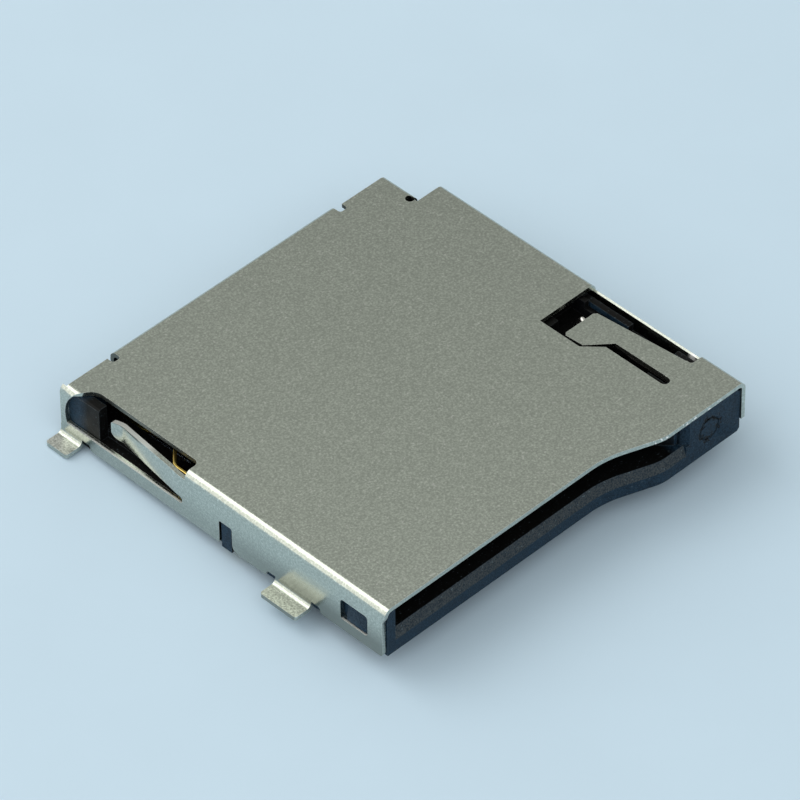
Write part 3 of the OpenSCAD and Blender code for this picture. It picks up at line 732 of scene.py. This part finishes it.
@dataclass(frozen=True)
class FilledMoulding:
    """Black moulding with glass filler: mottled blue-black skin, pale fibre specks, edges worn by
    rubbing that also carry a painted highlight, and painted shade under the plate.

    Attributes:
        colour: The darkest of its skin.
        cloud: The palest of its skin.
        edge: Its fibres, and its edges worn by rubbing, which also carry a painted highlight.
        etched: Its matt slopes, such as the lead-in of the slot.
        shade: The painted shade under the plate, and its pits.
        steep: The ranges of a normal's Z between which a face is such a slope.
        patchy: How much the patches mottle the skin, as grainy tells for the grain.
        dusty: How much of a slope's colour shows on the grain.
        fibres: How much the fibres show, off a slope and on it.
        patch_rough: What the patches add to the roughness.
        patch_height: How high a patch stands, as a share of the grain's height.
        pit_depth: How deep a pit is, as a share of the grain's height.
    """

    name: str
    colour: Colour
    cloud: Colour
    edge: Colour
    mark: RoundMark | None = None
    etched: Colour = (0.066, 0.074, 0.078)
    shade: Colour = (0.004, 0.004, 0.004)
    steep: tuple[Range, Range] = ((0.20, 0.30), (0.42, 0.52))
    patchy: float = 0.3
    grainy: float = 0.7
    grain_reach: Range = (0.2, 0.8)
    dusty: Range = (0.3, 1.0)
    fibres: Range = (0.4, 1.0)
    wear_and_highlight: float = 0.45
    roughness: float = 0.46
    slope_rough: float = 0.75
    patch_rough: Range = (-0.10, 0.10)
    shine: float = 0.12
    grain_size: float = 0.05 * MM
    patch_size: float = 0.32 * MM
    edge_width: float = 0.03 * MM
    bump_strength: float = 0.8
    bump_height: float = 0.003 * MM
    patch_height: float = 1.5
    pit_depth: float = 12.0

    def material(self) -> bpy.types.Material:
        """Build the moulding.

        Returns:
            The material.
        """
        made, wires = new_material(self.name)
        effect = wires.group(SharedEffects.grain(), {"Grain Size": self.grain_size,
                                                     "Patch Size": self.patch_size})
        grain, patches = effect["Grain"], effect["Patches"]
        wear = wires.group(SharedEffects.edge_wear(), {"Width": self.edge_width})["Wear"]
        slope = wires.between(wires.facing()["Z"], *self.steep)
        pits = self.mark.mask(wires) if self.mark else 0.0
        mottle = wires.total(wires.times(patches, self.patchy),
                             wires.span(grain, self.grain_reach, (0.0, self.grainy)))
        dusty = wires.span(grain, SharedEffects.usual, self.dusty)
        fibres = wires.times(effect["Specks"], wires.span(slope, WHOLE, self.fibres))
        colour = wires.layers(
            self.colour,
            (mottle, self.cloud),
            # painted shade on the faces under the plate and in the slot's mouth
            (PaintedShadeUnderPlate().mask(wires), self.shade),
            (wires.times(slope, dusty), self.etched),
            (fibres, self.edge),
            # edges worn by rubbing, partly real wear and partly a painted highlight
            (wires.times(wear, self.wear_and_highlight), self.edge),
            (pits, self.shade))
        roughness = wires.total(wires.span(patches, WHOLE, self.patch_rough),
                                wires.span(slope, WHOLE, (self.roughness, self.slope_rough)))
        height = wires.total(grain, wires.times(patches, self.patch_height),
                             wires.times(pits, -self.pit_depth))
        wires.surface(wires.shader({
            "Base Color": colour,
            "Roughness": roughness,
            "Specular IOR Level": self.shine,
            "Normal": wires.bump(self.bump_strength, self.bump_height, height)}))
        return made


@dataclass(frozen=True)
class PlatedSpring:
    """Spring strip with gold over its contact end and tin over its soldered tail.

    Attributes:
        edge: Its worn edges.
        tin_start: Where the gold gives way to the tin.
        dull: Its dull patches, as a share of its colour.
    """

    name: str = "plated spring strip"
    gold: Colour = (1.0, 0.74, 0.22)
    tin: Colour = (0.70, 0.70, 0.68)
    edge: Colour = (0.92, 0.85, 0.70)
    tin_start: Range = (6.0 * MM, 6.3 * MM)
    dull: float = 0.8
    patchy: float = 0.6
    worn: float = 0.3
    roughness: float = 0.30
    tin_rough: float = 0.1
    grain_rough: Range = (-0.05, 0.07)
    grain_size: float = 0.03 * MM
    patch_size: float = 0.4 * MM
    edge_width: float = 0.02 * MM
    bump_strength: float = 0.6
    bump_height: float = 0.0008 * MM

    def material(self) -> bpy.types.Material:
        """Build the two platings.

        Returns:
            The material.
        """
        made, wires = new_material(self.name)
        effect = wires.group(SharedEffects.grain(), {"Grain Size": self.grain_size,
                                                     "Patch Size": self.patch_size})
        wear = wires.group(SharedEffects.edge_wear(), {"Width": self.edge_width})["Wear"]
        tinned = wires.rising(wires.parts(wires.place())["Y"], self.tin_start)
        dull = wires.blend(tinned, dimmed(self.gold, self.dull), dimmed(self.tin, self.dull))
        colour = wires.layers(
            self.gold,
            (tinned, self.tin),
            (wires.times(effect["Patches"], self.patchy), dull),
            (wires.times(wear, self.worn), self.edge))
        roughness = wires.total(
            wires.span(effect["Grain"], WHOLE, self.grain_rough),
            wires.times(tinned, self.tin_rough),
            self.roughness)
        wires.surface(wires.shader({
            "Base Color": colour,
            "Roughness": roughness,
            "Metallic": 1.0,
            "Normal": wires.bump(self.bump_strength, self.bump_height, effect["Streaks"])}))
        return made


@dataclass(frozen=True)
class DrawnWire:
    """Hard drawn steel wire: bright, with fine die marks along it.

    Attributes:
        dark: Its dark patches, as a share of the colour.
        mark_length: How long a die mark is, as a multiple of its width.
    """

    name: str = "drawn wire"
    colour: Colour = (0.62, 0.61, 0.59)
    dark: float = 0.7
    patchy: float = 0.5
    roughness: float = 0.22
    mark_rough: Range = (-0.06, 0.08)
    mark_length: float = 20.0
    grain_size: float = 0.03 * MM
    patch_size: float = 0.3 * MM
    bump_strength: float = 0.5
    bump_height: float = 0.0008 * MM

    def material(self) -> bpy.types.Material:
        """Build the wire.

        Returns:
            The material.
        """
        made, wires = new_material(self.name)
        effect = wires.group(SharedEffects.grain(), {"Grain Size": self.grain_size,
                                                     "Patch Size": self.patch_size,
                                                     "Streak Length": self.mark_length})
        patches, marks = wires.times(effect["Patches"], self.patchy), effect["Streaks"]
        wires.surface(wires.shader({
            "Base Color": wires.blend(patches, self.colour, dimmed(self.colour, self.dark)),
            "Roughness": wires.total(wires.span(marks, WHOLE, self.mark_rough), self.roughness),
            "Metallic": 1.0,
            "Normal": wires.bump(self.bump_strength, self.bump_height, marks)}))
        return made


@dataclass(frozen=True)
class PaleBoard:
    """Matt pale board of the floor, clear from below.

    Attributes:
        dark: Its patches, as a share of the colour.
    """

    name: str = "pale board"
    colour: Colour = (0.62, 0.78, 0.93)
    dark: float = 0.97
    roughness: float = 0.7
    grain_size: float = 0.2 * MM
    patch_size: float = 6 * MM

    def material(self) -> bpy.types.Material:
        """Build the board.

        Returns:
            The material.
        """
        made, wires = new_material(self.name)
        patches = wires.group(SharedEffects.grain(), {"Grain Size": self.grain_size,
                                                      "Patch Size": self.patch_size})["Patches"]
        board = wires.shader({
            "Base Color": wires.blend(patches, self.colour, dimmed(self.colour, self.dark)),
            "Roughness": self.roughness})
        clear = wires.add("ShaderNodeBsdfTransparent").outputs[0]
        below = wires.add("ShaderNodeNewGeometry").outputs["Backfacing"]
        mix = wires.add("ShaderNodeMixShader", {0: below, 1: board, 2: clear})
        wires.surface(mix.outputs[0])
        return made


HOUSING_FINISH = FilledMoulding("housing moulding", colour=(0.001, 0.007, 0.016),
                                cloud=(0.022, 0.050, 0.084), edge=(0.10, 0.13, 0.15),
                                mark=RoundMark())
SLIDER_FINISH = FilledMoulding("slider moulding", colour=(0.004, 0.005, 0.006),
                               cloud=(0.010, 0.011, 0.014), edge=(0.05, 0.05, 0.06),
                               roughness=0.38)
SHELL_FINISH = PlatedSheet()
SPRING_STRIP_FINISH = PlatedSpring()
WIRE_FINISH = DrawnWire()
PIN_FINISH = DrawnWire("bright wire", colour=(0.86, 0.85, 0.82), roughness=0.26)


def mesh_object(name: str, build: bmesh.types.BMesh) -> bpy.types.Object:
    """Turn a finished bmesh into an object at the origin.

    Args:
        name: The object's name.
        build: The shape. It is freed here.

    Returns:
        The object, linked to the scene.
    """
    mesh = bpy.data.meshes.new(name)
    build.to_mesh(mesh)
    build.free()
    made = bpy.data.objects.new(name, mesh)
    bpy.context.scene.collection.objects.link(made)
    return made


@dataclass(frozen=True)
class Nudge:
    """Small shift of the corners of a mesh that lie near some spots, all in millimetres.

    Attributes:
        shift: How far a corner at a spot moves.
        reach: How far from a spot a corner still moves.
    """

    spots: tuple[Point, ...]
    shift: Point
    reach: float = 0.012

    def apply(self, build: bmesh.types.BMesh) -> None:
        """Move the corners, those at a spot by the whole shift and those around it by less.

        Args:
            build: The mesh that has them.
        """
        moved = 0
        for vert in build.verts:
            apart = min((vert.co - MM * Vector(spot)).length for spot in self.spots)
            share = 1.0 - (apart / (self.reach * MM)) ** 2
            if share > 0.0:
                vert.co += share * MM * Vector(self.shift)
                moved += 1
        log.info("corners moved: %d", moved)


@dataclass(frozen=True)
class EdgeRounding:
    """How the edges of a part are broken.

    Attributes:
        width: The width of the rounding.
        segments: The faces across it.
        crease: The angle in degrees from which an edge is rounded.
    """

    width: float
    segments: int = 2
    crease: float = 32.0

    def apply(self, made: bpy.types.Object) -> None:
        """Round the sharp edges and smooth the rest.

        Args:
            made: The object to finish.
        """
        made.data.shade_smooth()
        made.data.set_sharp_from_angle(angle=math.radians(self.crease))
        bevel = made.modifiers.new("broken edges", "BEVEL")
        bevel.width = self.width
        bevel.segments = self.segments
        bevel.limit_method = "ANGLE"
        bevel.angle_limit = math.radians(self.crease)
        bevel.harden_normals = True
        bevel.use_clamp_overlap = True


@dataclass
class DressedNode:
    """A CAD node with its edges rounded and its finish on.

    Attributes:
        node: The CAD node.
        body: The body it moves with.
        slot: The record's material slot; not used.
        finish: What it is finished in.
        rounding: How its edges are broken.
        shaping: A last change to its mesh, if it has one.
        weld: How near to each other two corners are one.
        flat: The angle in degrees up to which two faces are one.
    """

    node: str
    body: Body
    slot: Slot
    finish: Finish
    rounding: EdgeRounding
    shaping: Callable[[bmesh.types.BMesh], None] | None = None
    weld: float = 0.0005 * MM
    flat: float = 0.5

    def merged(self) -> bmesh.types.BMesh:
        """Copy the CAD node's loose triangles into one welded mesh with whole faces.

        Returns:
            The welded mesh.
        """
        build = bmesh.new()
        build.from_mesh(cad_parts[self.node].data)
        bmesh.ops.remove_doubles(build, verts=build.verts, dist=self.weld)
        bmesh.ops.dissolve_limit(build, angle_limit=math.radians(self.flat), verts=build.verts,
                                 edges=build.edges, use_dissolve_boundaries=False)
        return build

    def build(self) -> bpy.types.Object:
        """Make the piece that stands for the node.

        Returns:
            The piece.
        """
        mesh = self.merged()
        if self.shaping:
            self.shaping(mesh)
        made = mesh_object(f"{self.node}_dressed", mesh)
        self.rounding.apply(made)
        made.data.materials.append(self.finish.material())
        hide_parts(self.node)
        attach(made, self.body.value)
        log.info("%s: %d faces, on %s", made.name, len(made.data.polygons), self.body.value)
        return made


@dataclass
class Shell:
    """The folded shell: plate, walls, tabs, springs and rear flange in one sheet.

    Attributes:
        edge_round: The rounding of its edges.
        shoulder: The setting back of the plate's edge at the tongue's shoulder.
        wall_top: The sloping of the right wall's sheared top.
    """

    edge_round: float = 0.04 * MM
    shoulder: Nudge = Nudge(((4.92, -2.92, 1.90), (4.92, -2.92, 2.05),
                             (5.47, -3.51, 1.90), (5.47, -3.51, 2.05)), shift=(0.0, -0.12, 0.0))
    wall_top: Nudge = Nudge(((7.21, -6.0, 1.76), (7.21, -1.38, 1.76)), shift=(0.08, 0.0, -0.026))

    def ease(self, build: bmesh.types.BMesh) -> None:
        """Set back the edge at the tongue's shoulder, and slope the top of the right wall."""
        for nudge in (self.shoulder, self.wall_top):
            nudge.apply(build)

    def build(self) -> list[bpy.types.Object]:
        """Build the shell, which is one piece."""
        return [DressedNode("shell", Body.FRAME, Slot.SHELL, SHELL_FINISH,
                            EdgeRounding(self.edge_round), self.ease).build()]


@dataclass
class Housing:
    """The black moulding that carries the contacts and the ejector."""

    edge_round: float = 0.02 * MM

    def build(self) -> list[bpy.types.Object]:
        """Build the moulding, which is one piece."""
        return [DressedNode("housing", Body.FRAME, Slot.MOULDING, HOUSING_FINISH,
                            EdgeRounding(self.edge_round)).build()]


@dataclass
class Contacts:
    """The eight spring contacts and the card switch contact."""

    count: int = 8
    edge_round: float = 0.03 * MM

    def build(self) -> list[bpy.types.Object]:
        """Build the contacts.

        Returns:
            One piece for each contact.
        """
        names = [f"contact_{number}" for number in range(1, self.count + 1)] + ["detect_contact"]
        return [DressedNode(name, Body.FRAME, Slot.CONTACT, SPRING_STRIP_FINISH,
                            EdgeRounding(self.edge_round)).build() for name in names]


@dataclass
class EjectSpring:
    """The coil spring that pushes the slider out: closed end turns and open turns between.

    Attributes:
        axis_x: Where its axis lies across the connector.
        axis_z: How high its axis lies.
        front: Where it meets the slider.
        back: Where it meets the housing.
        outside: Its outside diameter.
        wire: The wire's diameter.
        turns: All its turns.
        closed: The turns at each end that lie wire on wire.
        stroke: How far the slider squeezes it; not used.
        steps_each_turn: The rings of corners in a turn.
        wire_sides: The corners round the wire.
        crease: The angle in degrees from which an edge stays sharp.
    """

    axis_x: float = 6.215 * MM
    axis_z: float = 1.135 * MM
    front: float = -0.69 * MM
    back: float = 4.88 * MM
    outside: float = 1.15 * MM
    wire: float = 0.16 * MM
    turns: int = 12
    closed: float = 1.0
    stroke: float = 2.2 * MM
    steps_each_turn: int = 32
    wire_sides: int = 12
    crease: float = 50.0

    def coil(self, build: bmesh.types.BMesh, ring: list, turns: float, rise: float) -> list:
        """Wind a number of turns onto the end of the wire.

        Args:
            build: The mesh that the wire is in.
            ring: The edges and points of the wire's open end.
            turns: How many turns to wind.
            rise: How far each turn moves along the axis.

        Returns:
            The edges and points of the new open end.
        """
        steps = round(turns * self.steps_each_turn)
        wound = bmesh.ops.spin(
            build, geom=ring, cent=(self.axis_x, 0.0, self.axis_z), axis=(0.0, 1.0, 0.0),
            dvec=(0.0, rise * turns / steps, 0.0), angle=math.tau * turns, steps=steps)
        return wound["geom_last"]

    def build(self) -> list[bpy.types.Object]:
        """Build the spring.

        Returns:
            Its one piece.
        """
        build = bmesh.new()
        centre = Vector((self.axis_x + (self.outside - self.wire) / 2,
                         self.front + self.wire / 2, self.axis_z))
        start = bmesh.ops.create_circle(build, segments=self.wire_sides, radius=self.wire / 2,
                                        matrix=Matrix.Translation(centre))
        ring = start["verts"] + build.edges[:]
        open_turns = self.turns - 2 * self.closed
        free = self.back - self.front - self.wire - 2 * self.closed * self.wire
        ring = self.coil(build, ring, self.closed, self.wire)
        ring = self.coil(build, ring, open_turns, free / open_turns)
        self.coil(build, ring, self.closed, self.wire)
        bmesh.ops.holes_fill(build, edges=[edge for edge in build.edges if edge.is_boundary])
        bmesh.ops.recalc_face_normals(build, faces=build.faces)
        made = mesh_object("eject_spring_coil", build)
        made.data.shade_smooth()
        made.data.set_sharp_from_angle(angle=math.radians(self.crease))
        made.data.materials.append(WIRE_FINISH.material())
        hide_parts("eject_spring")
        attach(made, Body.FRAME.value)
        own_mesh(made)
        log.info("%s: %d faces, on %s", made.name, len(made.data.polygons), Body.FRAME.value)
        return [made]


@dataclass
class Ejector:
    """The slider with its heart-shaped track, the wire pin that latches it, and its spring.

    Attributes:
        edge_round: The rounding of the slider's edges.
        wire_round: The rounding of the pin's edges.
        pin_end: The lift of the pin's end, which catches the light.
        spring: The coil spring.
    """

    edge_round: float = 0.03 * MM
    wire_round: float = 0.02 * MM
    pin_end: Nudge = Nudge(((6.26, -1.86, 1.47),), shift=(0.0, 0.0, 0.14), reach=0.2)
    spring: EjectSpring = field(default_factory=EjectSpring)

    def build(self) -> list[bpy.types.Object]:
        """Build the ejector.

        Returns:
            The slider, the pin and the spring.
        """
        slider = DressedNode("slider", Body.SLIDER, Slot.SLIDER, SLIDER_FINISH,
                             EdgeRounding(self.edge_round)).build()
        pin = DressedNode("lock_pin", Body.LOCK_PIN, Slot.WIRE, PIN_FINISH,
                          EdgeRounding(self.wire_round), self.pin_end.apply).build()
        return [slider, pin, *self.spring.build()]


@dataclass
class Lamp:
    """One soft lamp that faces the connector.

    Attributes:
        toward: The direction from the connector to the lamp.
        level: The brightness of its face.
    """

    name: str
    toward: Point
    distance: float
    width: float
    height: float
    level: float
    colour: Colour

    def build(self) -> bpy.types.Object:
        """Hang the lamp.

        Returns:
            The lamp.
        """
        light = bpy.data.lights.new(self.name, "AREA")
        light.shape = "ELLIPSE"
        light.size, light.size_y = self.width, self.height
        face = math.pi / 4 * self.width * self.height
        light.energy = self.level * math.pi * face
        light.color = self.colour
        made = bpy.data.objects.new(self.name, light)
        direction = Vector(self.toward).normalized()
        made.location = direction * self.distance
        made.rotation_euler = direction.to_track_quat("Z", "Y").to_euler()
        bpy.context.scene.collection.objects.link(made)
        return made


@dataclass
class Studio:
    """The pale floor, the soft light and the camera.

    Attributes:
        board: The finish of the floor.
        floor_size: The width of the floor.
        post_foot: The front of the locating posts' feet, as Y and Z.
        tail_foot: The end of the contact tails, as Y and Z.
        sky: The level of the light from all round.
        sensor: The width of the camera's sensor in millimetres.
        lens: The camera's focal length in millimetres.
        clip: The nearest and the farthest that it sees.
        eye: Where the camera stands.
        right: The camera's right.
        up: The camera's up.
        warm: The colour of the light from the left back.
        cool: The colour of the light from the front.
    """

    board: PaleBoard = PaleBoard()
    floor_size: float = 4.0
    post_foot: tuple[float, float] = (-4.0 * MM, -0.6 * MM)
    tail_foot: tuple[float, float] = (7.55 * MM, 0.0)
    sky: Colour = (0.480, 0.494, 0.466)
    sensor: float = 36.0
    lens: float = 320.26
    clip: Range = (0.01, 20.0)
    eye: Point = (-110.630 * MM, -113.095 * MM, 148.160 * MM)
    right: Point = (0.70857, -0.70559, -0.00839)
    up: Point = (0.48478, 0.47812, 0.73238)
    warm: Colour = (1.0, 0.985, 0.94)
    cool: Colour = (0.97, 0.99, 1.0)

    def lamps(self) -> Sequence[Lamp]:
        """Set out the lamps.

        Returns:
            A softbox and a wide sheet at the left back, and a fill at the front.
        """
        return (Lamp("left back softbox", toward=(-0.277, 0.523, 0.806), distance=0.5,
                     width=0.36, height=0.36, level=1.0, colour=self.warm),
                Lamp("left back sheet", toward=(-0.60, 0.523, 0.60), distance=0.6,
                     width=1.1, height=0.9, level=1.0, colour=self.warm),
                Lamp("front fill", toward=(-0.30, -0.62, 0.72), distance=0.9,
                     width=1.0, height=0.8, level=0.8, colour=self.cool))

    def floor(self) -> bpy.types.Object:
        """Lay the floor under the posts and the tails that the connector stands on.

        Returns:
            The floor.
        """
        post_y, post_z = self.post_foot
        tail_y, tail_z = self.tail_foot
        slope = math.atan2(tail_z - post_z, tail_y - post_y)
        place = Matrix.Translation((0.0, tail_y, tail_z)) @ Matrix.Rotation(slope, 4, "X")
        build = bmesh.new()
        bmesh.ops.create_grid(build, x_segments=1, y_segments=1, size=self.floor_size / 2,
                              matrix=place)
        made = mesh_object("floor", build)
        made.data.materials.append(self.board.material())
        return made

    def world(self) -> None:
        """Light the connector evenly from all round."""
        world = bpy.data.worlds.new("studio")
        bpy.context.scene.world = world
        world.use_nodes = True
        world.node_tree.nodes.clear()
        wires = Wiring(world.node_tree)
        glow = wires.add("ShaderNodeBackground", {"Color": opaque(self.sky), "Strength": 1.0})
        wires.add("ShaderNodeOutputWorld", {"Surface": glow.outputs[0]})

    def camera(self) -> bpy.types.Object:
        """Stand the camera at the photograph's viewing angle.

        Returns:
            The camera.
        """
        data = bpy.data.cameras.new("camera")
        data.sensor_width = self.sensor
        data.lens = self.lens
        data.clip_start, data.clip_end = self.clip
        made = bpy.data.objects.new("camera", data)
        right, up = Vector(self.right), Vector(self.up)
        turn = Matrix((right, up, right.cross(up))).transposed()
        made.matrix_world = Matrix.Translation(Vector(self.eye)) @ turn.to_4x4()
        bpy.context.scene.collection.objects.link(made)
        bpy.context.scene.camera = made
        return made

    def build(self) -> None:
        """Set up the whole studio."""
        bpy.context.scene.view_settings.view_transform = "Standard"
        self.floor()
        self.world()
        for lamp in self.lamps():
            lamp.build()
        self.camera()


def main() -> None:
    """Build the connector piece by piece, then the studio round it."""
    logging.basicConfig(level=logging.INFO, format="%(name)s: %(message)s")
    for assembly in (Shell(), Housing(), Contacts(), Ejector()):
        made = assembly.build()
        log.info("%s is done, %d pieces", type(assembly).__name__, len(made))
    Studio().build()


if __name__ == "__main__":
    main()
